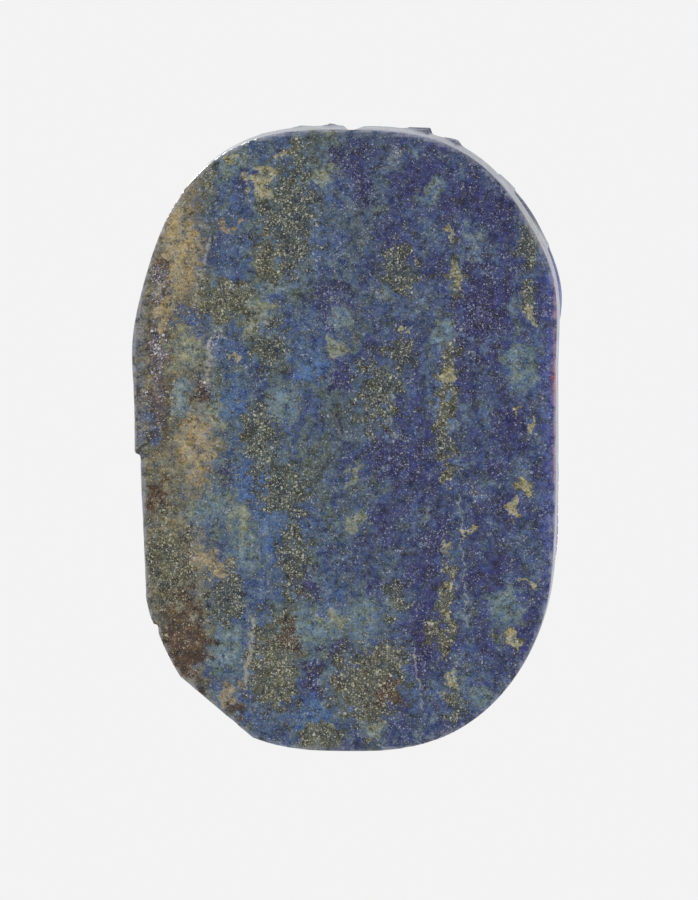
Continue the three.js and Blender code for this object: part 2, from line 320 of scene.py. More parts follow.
for first, last in SHIN_TEETH:
    for flank in (1, -1):
        angle = np.degrees(np.arctan2(Y, flank * X))
        share = (angle - first) / (last - first)
        rim = edge_distance + TOOTH_INSET - TOOTH_STEP * np.clip(share, 0, 1)
        ends = np.maximum(first - angle, angle - last) * MM_PER_DEGREE
        tooth = np.maximum(np.maximum(rim, -edge_distance - TOOTH_DEPTH), ends)
        tooth = cut(tooth, PLATE_HEIGHT + TOOTH_HEIGHT - Z, 0.1)
        tooth = cut(tooth, Z - PLATE_HEIGHT + 0.1, 0.02)
        stone = join(stone, tooth, 0.06)


# --- The stringing hole and the breaks -------------------------------------------------------
# A drilled hole runs from end to end under the back. Its mouths are flared, and the cord has worn
# a channel down the front of the plate. Flakes have gone from the edge of the base.

BORE_Z, BORE_RADIUS = 3.5, 0.75
FLARE, FLARE_LENGTH, TAIL_MOUTH = 1.15, 1.2, 1.6
CHANNEL_FOOT, CHANNEL_TOP, CHANNEL_RISE = 0.25, 5.05, 4.8
CHANNEL_RADIUS, CHANNEL_SPREAD = 0.14, 0.58
# flakes gone from the edge: middle, half size, and which way the break faces
CHIPS = [
    ((-9.3, 9.35, 0.2), 0.55, (-0.8, 0.5, -0.3)),
    ((-10.0, 1.05, 0.1), 0.34, (-0.9, 0.35, -0.2)),
    ((4.6, 14.6, 0.0), 0.32, (0.3, 0.85, -0.4)),
]
NICKS = 70
LEFT_EDGE = (125, 240)

off_bore = np.hypot(X - HEAD_X, Z - BORE_Z)
from_front, from_tail = Y + LENGTH / 2, LENGTH / 2 - TAIL_MOUTH - Y
for inwards in (from_front, from_tail):
    flare = (FLARE - BORE_RADIUS) * np.clip(1 - (inwards + 0.1) / FLARE_LENGTH, 0, 1)
    stone = cut(stone, off_bore - BORE_RADIUS - flare, 0.12)

widening = np.clip((Z - CHANNEL_FOOT) / CHANNEL_RISE, 0, 1)
channel_radius = CHANNEL_RADIUS + CHANNEL_SPREAD * widening
channel = np.hypot(X - HEAD_X, Y + LENGTH / 2 + 0.1) - channel_radius
channel = cut(channel, Z - CHANNEL_FOOT, 0.05)
stone = cut(stone, cut(channel, CHANNEL_TOP - Z, 0.05), 0.08)

for middle, size, facing in CHIPS:
    place = window(np.array(middle) - 2.5 * size, np.array(middle) + 2.5 * size)
    dx, dy, dz = (axis - c for axis, c in zip(axes_in(place), middle))
    flake = np.maximum(np.maximum(np.abs(dx) * 1.3, np.abs(dy)), np.abs(dz) * 0.6) - size
    flake = np.maximum(flake, 0.9 * dx * facing[1] - dy * facing[0] - 0.7 * size)
    stone[place] = cut(stone[place], flake, 0.05)

# small nicks from handling, thickest on the softer left edge
chance = np.random.default_rng(11)
for _ in range(NICKS):
    angle = chance.choice([chance.uniform(*LEFT_EDGE), chance.uniform(-180, 180)], p=[0.6, 0.4])
    angle = (angle + 180) % 360 - 180
    size = chance.uniform(0.08, 0.24)
    middle = side_point(angle, -0.55 * size, chance.choice([0.0, 0.0, PLATE_HEIGHT]))
    place = window(middle - 2 * size, middle + 2 * size)
    dx, dy, dz = (axis - c for axis, c in zip(axes_in(place), middle))
    nick = np.sqrt(dx**2 + (dy * chance.uniform(0.5, 1)) ** 2 + dz**2) - size
    stone[place] = cut(stone[place], nick, 0.04)


# --- The finished stone ----------------------------------------------------------------------
# The carved form becomes one closed mesh. Rows of short nicks, filed across the shins for their
# bristles, are cut into it last. Every point keeps how hollow or how proud it lies.

MOST_TRIANGLES = 185000
SHARP_EDGE = math.radians(32)

volume = openvdb.FloatGrid()
volume.copyFromArray(stone.astype(np.float32))
corners, _, faces = volume.convertToPolygons(isovalue=0.0, adaptivity=0.0)
carved = bpy.data.meshes.new("carved_stone")
carved.from_pydata((corners * CELL + grid_low) * MM, [], faces[:, ::-1])
carved.validate()

bend = -6 * stone
for axis in range(3):
    bend += np.roll(stone, 1, axis) + np.roll(stone, -1, axis)
bend = bend / CELL**2
for axis in range(3):
    bend = (np.roll(bend, 1, axis) + 2 * bend + np.roll(bend, -1, axis)) / 4
nearest = np.clip(np.rint(corners).astype(int), 0, np.array(stone.shape) - 1)
proud = carved.attributes.new("proud", "FLOAT", "POINT")
proud.data.foreach_set("value", bend[tuple(nearest.T)].astype(np.float32))

shins = bpy.data.curves.new("shins", "CURVE")
shins.dimensions = "3D"
for leg, flank, route in leg_routes():
    shin = route[len(route) // 2 : -2]
    along = np.gradient(shin, axis=0)
    outward = np.cross(along, (0, 0, 1)) * flank
    outward /= np.linalg.norm(outward, axis=1)[:, None]
    if leg != "fore":
        line = shins.splines.new("POLY")
        line.points.add(len(shin) - 1)
        for point, place in zip(line.points, (shin + LEG_RADIUS * outward) * MM):
            point.co = (*place, 1)
shin_lines = bpy.data.objects.new("shins", shins)

bristles = bpy.data.node_groups.new("bristle nicks along a shin", "GeometryNodeTree")
for label, kind, direction in [
    ("Geometry", "NodeSocketGeometry", "INPUT"),
    ("Shins", "NodeSocketObject", "INPUT"),
    ("Spacing", "NodeSocketFloat", "INPUT"),
    ("Nick Width", "NodeSocketFloat", "INPUT"),
    ("Nick Depth", "NodeSocketFloat", "INPUT"),
    ("Nick Length", "NodeSocketFloat", "INPUT"),
    ("Slant", "NodeSocketFloat", "INPUT"),
    ("Stone", "NodeSocketMaterial", "INPUT"),
    ("Geometry", "NodeSocketGeometry", "OUTPUT"),
]:
    bristles.interface.new_socket(label, in_out=direction, socket_type=kind)


def step(kind, inputs, **settings):
    """A node of the tree, with its settings, and its inputs linked or set."""
    made = bristles.nodes.new(kind)
    for name, value in settings.items():
        setattr(made, name, value)
    for key, value in inputs.items():
        if isinstance(value, bpy.types.NodeSocket):
            bristles.links.new(value, made.inputs[key])
        else:
            made.inputs[key].default_value = value
    return made.outputs


given = step("NodeGroupInput", {})
lines = step("GeometryNodeObjectInfo", {"Object": given["Shins"]})["Geometry"]
spaced = {"Curve": lines, "Length": given["Spacing"]}
lines = step("GeometryNodeResampleCurve", spaced, mode="LENGTH")[0]
run = step("GeometryNodeInputTangent", {})[0]
turn = step("FunctionNodeAlignRotationToVector", {"Vector": run}, axis="X", pivot_axis="Z")[0]
slanted = step("ShaderNodeCombineXYZ", {"Y": given["Slant"]})[0]
slanted = step("FunctionNodeEulerToRotation", {"Euler": slanted})[0]
turns = {"Rotation": turn, "Rotate By": slanted}
turn = step("FunctionNodeRotateRotation", turns, rotation_space="LOCAL")[0]
square_bar = {"Vertices": 4, "Radius": 1.0, "Depth": given["Nick Length"]}
blade = step("GeometryNodeMeshCylinder", square_bar)[0]
blade_size = {"X": given["Nick Width"], "Y": given["Nick Depth"], "Z": 1.0}
blade_size = step("ShaderNodeCombineXYZ", blade_size)[0]
blade = step("GeometryNodeTransform", {"Geometry": blade, "Scale": blade_size})[0]
blades = {"Points": lines, "Instance": blade, "Rotation": turn}
cuts = step("GeometryNodeInstanceOnPoints", blades)[0]
cuts = step("GeometryNodeRealizeInstances", {"Geometry": cuts})[0]
filed = step("GeometryNodeMeshBoolean", {"Mesh 1": given["Geometry"], "Mesh 2": cuts},
             operation="DIFFERENCE", solver="MANIFOLD")[0]
filed = step("GeometryNodeRealizeInstances", {"Geometry": filed})[0]
filed = step("GeometryNodeSetMaterial", {"Geometry": filed, "Material": given["Stone"]})[0]
step("NodeGroupOutput", {"Geometry": filed})

lapis = bpy.data.materials.new("lapis_lazuli")
carved.materials.append(lapis)
rough_stone = bpy.data.objects.new("rough_stone", carved)
bpy.context.collection.objects.link(rough_stone)
bpy.context.collection.objects.link(shin_lines)
filing = rough_stone.modifiers.new("bristle nicks", "NODES")
filing.node_group = bristles
sizes = {
    "Shins": shin_lines,
    "Spacing": 0.46 * MM,
    "Nick Width": 0.1 * MM,
    "Nick Depth": 0.16 * MM,
    "Nick Length": 1.0 * MM,
    "Slant": math.radians(24),
    "Stone": lapis,
}
for item in bristles.interface.items_tree:
    if item.in_out == "INPUT" and item.name in sizes:
        filing[item.identifier] = sizes[item.name]
thinning = rough_stone.modifiers.new("thinning", "DECIMATE")
thinning.ratio = min(1.0, MOST_TRIANGLES / (2 * len(faces)))
bpy.context.view_layer.update()
evaluated = rough_stone.evaluated_get(bpy.context.evaluated_depsgraph_get())
finished = bpy.data.meshes.new_from_object(evaluated)
finished.name = "scarab_stone"
scarab = bpy.data.objects.new("scarab_stone", finished)
bpy.context.collection.objects.link(scarab)
bpy.data.objects.remove(rough_stone)
bpy.data.objects.remove(shin_lines)
finished.shade_smooth()
finished.set_sharp_from_angle(angle=SHARP_EDGE)
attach(scarab, "root")
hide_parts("scarab")


# --- The lapis lazuli ------------------------------------------------------------------------
# The stone is blue lazurite with white and tan calcite, grey-green diopside and gold pyrite, and it
# grades from brown matrix on the left to deep blue on the right. The base is ground and left matt.
# The sides and the back are polished. Places in mm from the middle of the base.

PURE_BLUE, PAINTED_LEFT_SHEEN = (0.070, 0.088, 0.270, 1), (0.135, 0.142, 0.165, 1)
STAIN_RED, PAINTED_TEETH_SHADE = (0.46, 0.09, 0.095, 1), (0.050, 0.050, 0.080, 1)
PAINTED_WALL_SHEEN, WORN_PALE, DUST = (0.40, 0.40, 0.50, 1), (0.30, 0.31, 0.36, 1), (0.16, 0.14, 0.11, 1)
LEAST_TONE = (0.2, 0.2, 0.2)
LEFT_OF_MIDDLE, RIGHT_OF_MIDDLE = (-7.9, -5.6), (-1.6, 3.4)
PATCH_DEPTH = 3.2
# heights over which the ground base gives way to the polished wall
WALL_STARTS = (0.02, 0.10)

lapis.use_nodes = True
look = lapis.node_tree
surface = look.nodes["Principled BSDF"]
surface.inputs["Specular IOR Level"].default_value = 0.3
surface.inputs["IOR"].default_value = 1.5


def put(kind, inputs, tree=look, **settings):
    """A shader node with its settings, and its inputs linked or set. Gives its outputs."""
    made = tree.nodes.new("ShaderNode" + kind)
    for name, value in settings.items():
        setattr(made, name, value)
    for key, value in inputs.items():
        if isinstance(value, bpy.types.NodeSocket):
            tree.links.new(value, made.inputs[key])
        else:
            made.inputs[key].default_value = value
    return made.outputs


def calc(operation, *terms):
    """Arithmetic on numbers."""
    return put("Math", dict(enumerate(terms)), operation=operation)[0]


def shift(operation, *terms):
    """Arithmetic on places."""
    return put("VectorMath", dict(enumerate(terms)), operation=operation)[0]


def noise(place, scale, detail=2.0, roughness=0.5, colour=False):
    """Noise about 0.5, with a number of cells a mm."""
    inputs = {"Vector": place, "Scale": scale, "Detail": detail, "Roughness": roughness}
    return put("TexNoise", inputs)["Color" if colour else 0]


def swing(value):
    """How far a noise is from its middle."""
    return calc("SUBTRACT", value, 0.5)


def fade(value, start, end, low=0.0, high=1.0):
    """A smooth change from low to high while the value goes from start to end."""
    inputs = {0: value, 1: start, 2: end, 3: low, 4: high}
    return put("MapRange", inputs, interpolation_type="SMOOTHSTEP")[0]


def blend(under, over, share, mode="MIX"):
    """Colour over another by a share."""
    inputs = {0: share, 6: under, 7: over}
    return put("Mix", inputs, data_type="RGBA", blend_type=mode)[2]


def bands(value, *stops):
    """A colour ramp."""
    made = look.nodes.new("ShaderNodeValToRGB")
    look.links.new(value, made.inputs[0])
    ramp = made.color_ramp
    while len(ramp.elements) < len(stops):
        ramp.elements.new(0.5)
    for element, (at, colour) in zip(ramp.elements, stops):
        element.position = at
        element.color = (*colour, 1)
    return made.outputs[0]


here = put("TexCoord", {})["Object"]
here = put("VectorMath", {0: here, "Scale": 1 / MM}, operation="SCALE")[0]
x_here, y_here, z_here = put("SeparateXYZ", {0: here})


def push(scale, detail, roughness=0.5):
    """Noise as a push each way, with a number of cells a mm."""
    return shift("SUBTRACT", noise(here, scale, detail, roughness, colour=True), (0.5, 0.5, 0.5))


# the minerals grew into each other: their places are drawn out of line by clouds of three sizes
drift, ripple, crumble = push(0.6, 1.0), push(2.1, 2.0), push(8.0, 2.0, 0.6)
grown = shift("MULTIPLY_ADD", drift, (1.4, 1.8, 1.4), here)
grown = shift("MULTIPLY_ADD", ripple, (1.5, 1.9, 1.5), grown)
grown = shift("MULTIPLY_ADD", crumble, (0.2, 0.24, 0.2), grown)
grown_x, grown_y, _ = put("SeparateXYZ", {0: grown})

drawn = put("Mapping", {"Vector": grown, "Scale": (1.0, 0.62, 0.8)})[0]
cloud = noise(drawn, 0.62, 5.0, 0.62)
mottle = noise(here, 1.7, 3.0, 0.55)
curdle = noise(here, 4.4, 2.0, 0.6)
grain = noise(here, 11.0, 2.0, 0.7)

left_to_middle = fade(grown_x, *LEFT_OF_MIDDLE)
middle_to_right = fade(grown_x, *RIGHT_OF_MIDDLE)
matrix_side = bands(
    cloud,
    (0.30, (0.060, 0.052, 0.036)), (0.42, (0.098, 0.090, 0.066)), (0.50, (0.140, 0.130, 0.095)),
    (0.60, (0.185, 0.170, 0.118)), (0.72, (0.250, 0.220, 0.150)),
)
middle_stone = bands(
    cloud,
    (0.28, (0.024, 0.024, 0.080)), (0.38, (0.036, 0.048, 0.118)), (0.46, (0.058, 0.090, 0.155)),
    (0.53, (0.084, 0.116, 0.130)), (0.60, (0.060, 0.072, 0.062)), (0.70, (0.180, 0.210, 0.170)),
)
blue_side = bands(
    cloud,
    (0.28, (0.020, 0.018, 0.076)), (0.41, (0.034, 0.036, 0.112)), (0.50, (0.042, 0.058, 0.136)),
    (0.58, (0.062, 0.092, 0.156)), (0.68, (0.130, 0.172, 0.205)),
)
colour = blend(matrix_side, middle_stone, left_to_middle)
colour = blend(colour, blue_side, middle_to_right)

# each mineral's tint, how strong it is, and its main patches on the base: middle x, y, then half
# width and half length
PATCHES = [
    ("violet lazurite", (0.030, 0.028, 0.096), 0.85, [
        (-0.6, -6.3, 1.0, 1.3), (-0.3, -2.9, 0.6, 0.7), (-1.5, 11.2, 0.65, 0.8),
        (3.75, 10.4, 0.4, 1.0), (2.5, 0.6, 1.1, 1.0), (4.0, 5.2, 0.5, 1.4), (-5.4, 1.9, 0.25, 0.5),
        (-6.45, 1.1, 0.22, 0.2), (-5.65, 3.5, 0.2, 0.2), (-6.4, 3.9, 0.25, 0.2),
        (-0.3, 10.0, 0.6, 0.4), (6.3, -6.2, 1.0, 2.4), (-1.9, 7.0, 0.7, 0.8),
        (0.3, -12.6, 0.9, 1.3),
    ]),
    ("mid blue lazurite", (0.062, 0.098, 0.185), 0.85, [
        (-5.4, -11.5, 0.5, 0.75), (-4.1, -13.9, 0.5, 0.4), (-0.4, -11.8, 0.7, 0.8),
        (-5.2, -8.5, 0.95, 1.0), (-6.9, -8.3, 0.45, 0.4), (-5.5, -4.4, 0.75, 1.2),
        (-7.2, -5.6, 0.7, 0.6), (-1.8, -5.0, 0.9, 1.6), (-1.0, -9.3, 1.1, 1.3),
        (-4.3, 7.1, 0.8, 1.2), (-0.5, 7.3, 0.8, 1.2), (-4.3, 13.4, 0.6, 0.6),
        (3.1, 12.1, 0.4, 1.0), (-9.3, -0.7, 0.4, 1.0),
    ]),
    ("bright lazurite", (0.068, 0.128, 0.262), 0.85, [
        (-5.3, -1.9, 0.5, 0.8), (-4.4, 2.1, 0.75, 1.0), (-3.5, 4.5, 0.7, 1.6),
        (-1.35, 12.9, 0.6, 0.9), (-1.6, -3.6, 0.6, 0.7),
    ]),
    ("teal diopside", (0.140, 0.198, 0.222), 0.8, [
        (-2.9, -1.9, 0.8, 1.0), (-7.7, -1.9, 0.4, 0.9), (-6.5, 3.3, 1.0, 1.1),
        (-5.6, 9.8, 0.85, 1.2), (0.85, 8.6, 0.9, 1.0), (8.3, -4.0, 0.8, 0.9),
        (3.95, -11.7, 0.5, 0.6), (7.7, 7.9, 0.9, 0.9), (4.6, -5.2, 0.6, 0.7),
        (6.9, 12.2, 0.8, 0.7), (-1.6, 8.9, 1.3, 0.8), (-4.9, 5.3, 0.7, 0.9),
        (-0.2, -6.0, 0.6, 0.8), (-5.4, -13.0, 0.5, 0.5), (-3.3, -7.4, 0.6, 0.6),
    ]),
    ("pale green diopside", (0.225, 0.250, 0.190), 0.85, [
        (-4.2, -6.1, 0.6, 0.9), (-7.6, -4.3, 0.9, 0.7), (-4.9, 3.7, 0.6, 0.8),
        (-1.35, -12.8, 0.6, 0.35), (-0.5, -4.3, 0.4, 0.4), (-0.5, 8.4, 0.5, 0.4),
        (1.5, 13.6, 0.35, 0.3), (0.4, 1.8, 0.45, 0.4), (0.45, 3.8, 0.5, 0.45),
        (-6.2, -0.9, 0.5, 0.7),
    ]),
    ("grey-green matrix", (0.048, 0.058, 0.052), 0.85, [
        (-2.6, -10.7, 1.3, 2.4), (-3.5, -4.5, 0.65, 0.95), (-4.1, 0.0, 0.8, 1.8),
        (-3.0, 2.3, 0.9, 1.1), (-2.4, 5.4, 0.65, 2.2), (-5.7, 7.1, 0.75, 1.4),
        (2.6, -8.2, 0.85, 1.1), (1.6, -2.2, 0.9, 1.7), (2.8, -4.2, 0.65, 0.8),
        (2.6, 7.6, 0.6, 0.6), (4.7, 0.1, 0.6, 0.8), (5.4, 12.6, 0.55, 0.65),
        (8.8, -9.5, 0.65, 1.3), (8.8, -6.8, 0.45, 0.9),
    ]),
    ("olive matrix", (0.078, 0.078, 0.048), 0.85, [
        (-3.4, 10.6, 1.15, 2.2), (-5.7, -6.6, 1.4, 0.8), (-3.6, -8.6, 0.6, 1.1),
        (-2.15, -14.0, 0.5, 0.45), (-8.4, 6.0, 1.3, 1.7), (1.0, 11.7, 1.5, 1.7),
        (-1.3, 14.1, 0.9, 0.55), (1.8, 10.2, 1.1, 0.7), (4.95, -2.6, 0.35, 2.4),
        (4.95, 7.3, 0.42, 1.5), (4.95, 1.4, 0.35, 0.6), (4.5, 9.3, 0.55, 0.8),
        (5.15, -8.1, 0.28, 1.2), (-6.6, -12.7, 0.6, 0.5), (8.6, 2.1, 0.6, 0.5),
        (8.1, 9.3, 0.6, 0.4),
    ]),
    ("tan calcite", (0.310, 0.252, 0.152), 0.85, [
        (-7.9, -9.6, 0.9, 2.9), (-7.0, 0.4, 0.85, 1.4), (-8.5, -6.2, 0.45, 1.0),
        (-5.5, 12.2, 0.6, 0.8), (-5.5, -10.2, 0.45, 0.35), (-6.3, 5.9, 0.7, 0.5),
    ]),
    ("brown limonite", (0.074, 0.042, 0.026), 0.9, [
        (-7.7, 9.7, 1.0, 2.3), (-9.0, 2.8, 0.5, 0.45), (-2.7, 9.4, 0.5, 0.6),
        (1.9, 11.9, 0.45, 0.6), (-8.9, -3.4, 0.38, 2.9), (-8.6, -7.9, 0.28, 0.9),
        (-6.6, -2.2, 0.35, 0.5), (-5.3, 12.9, 0.45, 0.5),
    ]),
    ("gold pyrite", (0.330, 0.305, 0.190), 0.9, [
        (-3.95, -12.6, 0.6, 0.5), (-3.1, -13.5, 0.35, 0.3), (-5.2, -13.5, 0.25, 0.22),
        (7.95, 3.3, 0.32, 0.5), (8.5, 2.1, 0.4, 0.25), (5.1, 11.3, 0.18, 0.7),
        (4.8, 5.3, 0.16, 0.35), (5.05, 6.75, 0.22, 0.3), (4.9, 8.4, 0.16, 0.3),
        (5.0, -2.7, 0.28, 0.25), (5.15, -8.2, 0.18, 0.4), (5.1, -10.0, 0.28, 0.16),
        (8.1, 9.3, 0.38, 0.22), (8.6, 6.3, 0.5, 0.1), (2.8, -5.4, 0.2, 0.17),
        (8.1, -1.9, 0.16, 0.15), (8.8, -0.8, 0.2, 0.3), (9.0, -6.0, 0.2, 0.22),
        (5.7, 4.1, 0.12, 0.3), (-5.0, -4.0, 0.16, 0.14),
    ]),
    ("white calcite", (0.210, 0.225, 0.290), 0.25, [
        (2.3, -13.8, 0.35, 0.5), (6.3, 2.4, 0.4, 0.4), (-8.7, -7.4, 0.3, 0.8),
        (-8.9, -3.6, 0.3, 2.4), (4.8, 13.7, 0.35, 0.3), (-6.1, -4.2, 0.2, 0.9),
        (-6.5, -2.6, 0.2, 0.4),
    ]),
]
ragged = calc("MULTIPLY", swing(mottle), 2.6)
ragged = calc("MULTIPLY_ADD", swing(curdle), 1.2, ragged)
shown = {}
for mineral, tint, strength, patches in PATCHES:
    closest = None
    for x, y, half_width, half_length in patches:
        stretch = (1 / half_width, 1 / half_length, 1 / PATCH_DEPTH)
        off = shift("MULTIPLY_ADD", grown, stretch, (-x / half_width, -y / half_length, 0.0))
        off = put("VectorMath", {0: off}, operation="LENGTH")["Value"]
        closest = off if closest is None else calc("MINIMUM", closest, off)
    shown[mineral] = fade(calc("ADD", closest, ragged), 1.4, 0.7, 0.0, strength)
    colour = blend(colour, (*tint, 1), shown[mineral])

# the right edge is the purest blue, and along the left edge a grey-violet sliver is painted sheen,
# standing in for light on the wall there
colour = blend(colour, PURE_BLUE, fade(x_here, 9.0, 9.9, 0.0, 0.8))
painted_left_sheen = fade(x_here, -9.35, -9.6)
colour = blend(colour, PAINTED_LEFT_SHEEN, calc("MULTIPLY", painted_left_sheen, 0.6))

# clouds of light and dark, and of warm and cool, in every mineral
shade = calc("MULTIPLY_ADD", swing(mottle), 2.2, 0.86)
shade = calc("MULTIPLY_ADD", swing(curdle), 2.0, shade)
shade = calc("MULTIPLY_ADD", swing(grain), 2.2, shade)
warmth = calc("MULTIPLY", swing(noise(here, 2.4, 3.0, 0.6)), 1.3)
tone = put("CombineXYZ", {
    0: calc("ADD", shade, warmth),
    1: calc("MULTIPLY_ADD", warmth, 0.5, shade),
    2: calc("MULTIPLY_ADD", warmth, -0.8, shade),
})[0]
colour = shift("MULTIPLY", colour, shift("MAXIMUM", tone, LEAST_TONE))

# calcite veinlets and cracks run as thin sheets into the stone: from, to, half width
vein = bpy.data.node_groups.new("vein between two places", "ShaderNodeTree")
for label, kind, direction in [
    ("Place", "NodeSocketVector", "INPUT"),
    ("From", "NodeSocketVector", "INPUT"),
    ("Along", "NodeSocketVector", "INPUT"),
    ("Half Width", "NodeSocketFloat", "INPUT"),
    ("Mask", "NodeSocketFloat", "OUTPUT"),
]:
    vein.interface.new_socket(label, in_out=direction, socket_type=kind)
sheet = vein.nodes.new("NodeGroupInput").outputs
along = sheet["Along"]
off = put("VectorMath", {0: sheet["Place"], 1: sheet["From"]}, vein, operation="SUBTRACT")[0]
reach = put("VectorMath", {0: off, 1: along}, vein, operation="DOT_PRODUCT")["Value"]
whole = put("VectorMath", {0: along, 1: along}, vein, operation="DOT_PRODUCT")["Value"]
part = put("Math", {0: reach, 1: whole}, vein, operation="DIVIDE", use_clamp=True)[0]
foot = put("VectorMath", {0: along, "Scale": part}, vein, operation="SCALE")[0]
gap = put("VectorMath", {0: off, 1: foot}, vein, operation="DISTANCE")["Value"]
narrowing = {0: gap, 1: sheet["Half Width"], 2: 0.0}
mask = put("MapRange", narrowing, vein, interpolation_type="SMOOTHSTEP")[0]
vein.links.new(mask, vein.nodes.new("NodeGroupOutput").inputs["Mask"])

VEINLETS = [
    ((-6.25, -9.7), (-6.95, -7.6), 0.11), ((-6.95, -7.6), (-7.1, -6.7), 0.09),
    ((-5.95, -5.2), (-6.45, -4.5), 0.10), ((-6.45, -4.5), (-6.55, -2.9), 0.12),
    ((-4.4, 8.6), (-4.8, 11.8), 0.10), ((5.45, 2.4), (5.8, 8.8), 0.03),
    ((3.2, 9.4), (3.7, 12.6), 0.04),
]
CRACKS = [
    ((-9.9, 0.65), (-9.15, -0.35), 0.09), ((-10.1, -2.6), (-9.0, -2.0), 0.05),
    ((-9.5, 5.9), (-8.9, 6.3), 0.06),
]
thin = shift("MULTIPLY_ADD", ripple, (0.7, 0.7, 0.7), here)
thin = shift("MULTIPLY", thin, (1.0, 1.0, 0.2))
broken = fade(curdle, 0.38, 0.52)
for sheets, tint, share in [
    (VEINLETS, (0.36, 0.35, 0.28), calc("MULTIPLY", broken, 0.65)),
    (CRACKS, (0.028, 0.022, 0.018), 0.85),
]:
    seen = None
    for (x0, y0), (x1, y1), half in sheets:
        made = look.nodes.new("ShaderNodeGroup")
        made.node_tree = vein
        look.links.new(thin, made.inputs["Place"])
        made.inputs["From"].default_value = (x0, y0, 0)
        made.inputs["Along"].default_value = (x1 - x0, y1 - y0, 0)
        made.inputs["Half Width"].default_value = 2 * half
        seen = made.outputs[0] if seen is None else calc("MAXIMUM", seen, made.outputs[0])
    colour = blend(colour, (*tint, 1), calc("MULTIPLY", seen, share))

# crystals of calcite and pyrite, thickest in the matrix: cells a mm, more of them, how strong
matrix = calc("MAXIMUM", shown["grey-green matrix"], shown["olive matrix"])
matrix = calc("MAXIMUM", matrix, calc("MULTIPLY", shown["gold pyrite"], 1.2))
crowd = calc("MAXIMUM", matrix, calc("MULTIPLY", shown["violet lazurite"], 0.6))
crowd = calc("MULTIPLY_ADD", shown["white calcite"], 2.6, crowd)
gathered = calc("MULTIPLY", swing(noise(here, 1.2, 3.0, 0.6)), 1.6)
odds = calc("ADD", calc("MULTIPLY", crowd, 0.34), gathered)
cream = blend((0.46, 0.41, 0.31, 1), (0.31, 0.34, 0.44, 1), left_to_middle)
cream = blend(cream, (0.47, 0.46, 0.37, 1), fade(matrix, 0.1, 0.7))
cream = blend(cream, (0.60, 0.60, 0.66, 1), fade(shown["white calcite"], 0.05, 0.2))
crystal_place = shift("MULTIPLY_ADD", crumble, (0.16, 0.16, 0.16), here)
for cells, more, strength in [(16.0, 0.36, 0.70), (10.0, 0.14, 0.85), (6.0, -0.10, 0.80)]:
    foam = put("TexVoronoi", {"Vector": crystal_place, "Scale": cells})
    rank, bulk, brightness = put("SeparateColor", {0: foam["Color"]})
    there = calc("LESS_THAN", rank, calc("ADD", odds, more))
    radius = calc("MULTIPLY_ADD", bulk, 0.22, 0.24)
    dot = fade(calc("SUBTRACT", foam["Distance"], radius), 0.08, -0.06)
    dot = calc("MULTIPLY", calc("MULTIPLY", dot, there), calc("MULTIPLY_ADD", brightness, 0.7, 0.3))
    colour = blend(colour, cream, calc("MULTIPLY", dot, strength))

# red stain down the right edge of the base
at_edge = fade(x_here, 9.7, 9.95)
patchy = fade(calc("ADD", mottle, curdle), 0.90, 1.15)
stain = calc("MULTIPLY", fade(grown_y, -8.2, -7.2), fade(grown_y, 2.6, 1.6))
stain = calc("MULTIPLY", calc("MULTIPLY", stain, at_edge), patchy)
knot = shift("SUBTRACT", here, (10.0, -3.0, 0.4))
knot = put("VectorMath", {0: knot}, operation="LENGTH")["Value"]
knot = calc("MULTIPLY_ADD", swing(curdle), 3.0, knot)
knot = calc("MULTIPLY", at_edge, fade(knot, 1.0, 0.1, 0.0, 0.75))
stain = calc("MAXIMUM", calc("MULTIPLY", stain, 0.4), knot)
stain = calc("MULTIPLY", stain, fade(z_here, 1.5, 0.2))
colour = blend(colour, STAIN_RED, stain)

# painted sheen on the wall of the base, a pale lavender standing in for grazing light, and painted
# shade darkening the teeth of the clypeus
painted_wall_sheen = calc("MULTIPLY", fade(z_here, 0.12, 0.4), fade(z_here, 2.85, 2.55))
painted_wall_sheen = calc("MULTIPLY", painted_wall_sheen, fade(mottle, 0.36, 0.66, 0.06, 0.24))
colour = blend(colour, PAINTED_WALL_SHEEN, painted_wall_sheen)
# painted shade on the clypeus teeth, darkened where they lie back in shadow
teeth_painted_shade = calc("MULTIPLY", fade(z_here, 2.65, 2.85), fade(y_here, -13.3, -14.2, 0.0, 0.7))
teeth_painted_shade = calc("MULTIPLY", teeth_painted_shade, fade(z_here, 5.4, 4.7))
colour = blend(colour, PAINTED_TEETH_SHADE, teeth_painted_shade)

# wear has paled the proud edges, and dust has stayed in the carved lines
proudness = put("Attribute", {}, attribute_name="proud")["Fac"]
worn = calc("MULTIPLY", fade(proudness, 1.2, 5.0, 0.0, 0.55), fade(mottle, 0.36, 0.56))
worn = calc("MULTIPLY", worn, calc("SUBTRACT", 1.0, teeth_painted_shade))
dusty = calc("MULTIPLY", fade(proudness, -0.5, -3.0, 0.0, 0.6), fade(mottle, 0.62, 0.40))
colour = blend(colour, WORN_PALE, worn)
colour = blend(colour, DUST, dusty)
look.links.new(colour, surface.inputs["Base Color"])

polished = fade(z_here, *WALL_STARTS)
rough = calc("MULTIPLY_ADD", polished, -0.38, 0.60)
rough = calc("MULTIPLY_ADD", swing(mottle), 0.5, rough)
rough = calc("MULTIPLY_ADD", dusty, 0.5, rough)
rough = calc("MULTIPLY_ADD", teeth_painted_shade, 0.9, rough)
look.links.new(rough, surface.inputs["Roughness"])
look.links.new(calc("MULTIPLY", shown["gold pyrite"], 0.5), surface.inputs["Metallic"])

relief = calc("MULTIPLY_ADD", curdle, 1.2, grain)
relief = calc("MULTIPLY", relief, fade(z_here, *WALL_STARTS, 1.0, 0.35))
bump = put("Bump", {"Height": relief, "Distance": 0.009 * MM, "Strength": 1.0})[0]
look.links.new(bump, surface.inputs["Normal"])


# --- Floor, light and camera -----------------------------------------------------------------
# A pale studio. The floor is one-sided: it shows from above only, so the base is seen from under
# it, and it casts no shadow. The camera stands below, a little towards the head and the right.

